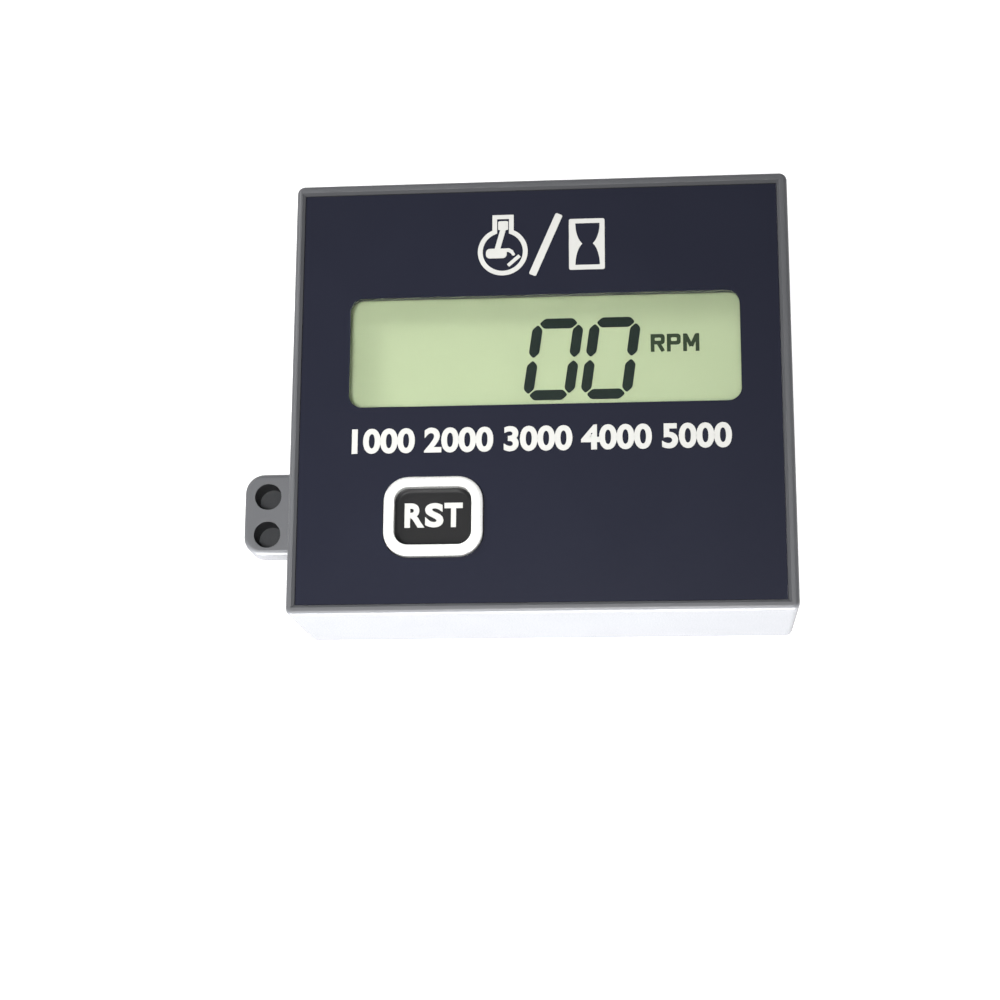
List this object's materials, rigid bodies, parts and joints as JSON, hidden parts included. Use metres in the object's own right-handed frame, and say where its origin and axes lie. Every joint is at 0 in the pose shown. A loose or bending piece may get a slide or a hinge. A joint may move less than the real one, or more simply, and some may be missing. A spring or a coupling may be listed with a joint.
{
  "type": "small engine tachometer",
  "caption": "Small square panel meter with a display window, a raised reset key and a drilled mounting ear on its left side.",
  "frame": {"origin": "centre of the flat rear face", "axes": "+Z out of the face towards the reader, +Y up the display, +X to the display's right; the ear is on the -X side"},
  "size_m": [0.0573, 0.0468, 0.0154],
  "materials": {
    "housing_plastic": "fine spark texture",
    "overlay_film": "smooth satin film",
    "lens_acrylic": "polished",
    "display_glass": "polished",
    "display_film": "satin",
    "display_reflector": "matt metallised film",
    "display_segments": "dark liquid crystal",
    "white_moulding": "moulded",
    "strip_rubber": "striped",
    "key_plastic": "satin",
    "ring_plastic": "satin",
    "switch_plastic": "moulded",
    "tinned_steel": "tinned",
    "board_laminate": "solder-masked glass laminate",
    "chip_ceramic": "fired",
    "contact_metal": "nickel on brass",
    "cell_steel": "satin nickel",
    "screw_steel": "zinc plated",
    "seal_rubber": "matt"
  },
  "bodies": {
    "housing": {"front_case": "housing_plastic", "rear_cover": "housing_plastic", "face_overlay": "overlay_film", "window_lens": "lens_acrylic", "display_front_glass": "display_glass", "display_rear_glass": "display_glass", "display_polariser": "display_film", "display_reflector": "display_reflector", "display_digits": "display_segments", "display_bezel": "white_moulding", "display_support": "white_moulding", "signal_socket": "white_moulding", "contact_strip_upper": "strip_rubber", "contact_strip_lower": "strip_rubber", "switch_base": "switch_plastic", "cell_holder": "switch_plastic", "microcontroller": "switch_plastic", "switch_cover": "tinned_steel", "switch_dome": "tinned_steel", "switch_leads": "tinned_steel", "microcontroller_leads": "tinned_steel", "clock_crystal": "tinned_steel", "circuit_board": "board_laminate", "chip_capacitors": "chip_ceramic", "chip_resistors": "chip_ceramic", "signal_pins": "contact_metal", "cell_minus_contact": "contact_metal", "cell_plus_clip": "contact_metal", "coin_cell": "cell_steel", "cover_screw_1": "screw_steel", "cover_screw_2": "screw_steel", "cover_screw_3": "screw_steel", "cover_screw_4": "screw_steel", "board_screw_1": "screw_steel", "board_screw_2": "screw_steel", "cover_gasket": "seal_rubber", "lead_grommet": "seal_rubber"},
    "reset_key": {"reset_key": "key_plastic", "reset_key_ring": "ring_plastic", "switch_plunger": "switch_plastic"}
  },
  "joints": [
    {"name": "reset_key_press", "type": "slide", "parent": "housing", "child": "reset_key", "axis": [0, 0, -1], "range_m": [0, 0.0003], "stiffness_N_per_m": 1500, "deforming": ["switch_dome"]}
  ]
}
